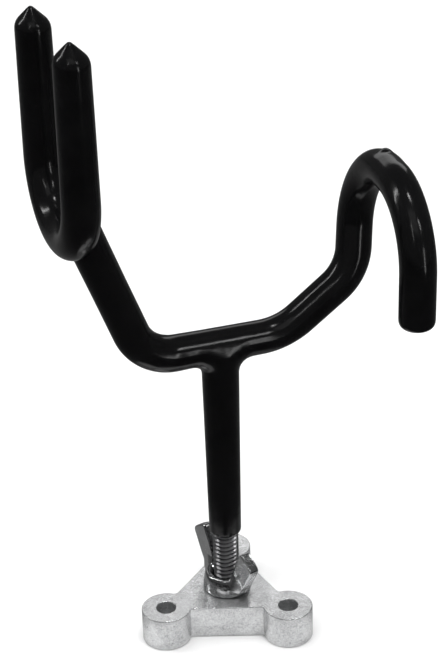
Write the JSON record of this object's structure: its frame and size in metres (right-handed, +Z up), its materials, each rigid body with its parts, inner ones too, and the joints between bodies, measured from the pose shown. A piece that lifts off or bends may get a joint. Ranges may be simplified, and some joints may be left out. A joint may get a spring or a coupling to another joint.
{
  "type": "rod holder",
  "caption": "Dip-coated bent-rod fishing rod holder with an upright fork and a rear hook on a threaded stem, locked by a wing nut in a flat three-eared base.",
  "frame": {"origin": "centre of the base plate's underside, on the stem's axis", "axes": "+X along the arm from the fork to the hook, +Y away from the hook's free leg, +Z up along the stem"},
  "size_m": [0.1199, 0.0897, 0.2415],
  "materials": {
    "base_metal": "mill-finished plate, tumbled, sawn edges",
    "nut_metal": "bright zinc plate",
    "rod_steel": "bright cold-drawn bar with a cut thread",
    "weld_steel": "as welded",
    "coating": "glossy black dipped vinyl"
  },
  "bodies": {
    "base": {"base_plate": "base_metal"},
    "holder": {"stem_rod": "rod_steel", "arm_rod": "rod_steel", "fork_rod": "rod_steel", "stem_weld": "weld_steel", "fork_weld": "weld_steel", "stem_coating": "coating", "arm_coating": "coating", "hook_coating": "coating", "fork_coating": "coating"},
    "nut": {"wing_nut": "nut_metal"}
  },
  "joints": [
    {"name": "holder_swivel", "type": "hinge", "parent": "base", "child": "holder", "pos_m": [0, 0, 0.0127], "axis": [0, 0, 1], "range_deg": [-180, 180]},
    {"name": "nut_spin", "type": "hinge", "parent": "holder", "child": "nut", "pos_m": [0, 0, 0.0127], "axis": [0, 0, 1], "continuous": true}
  ]
}
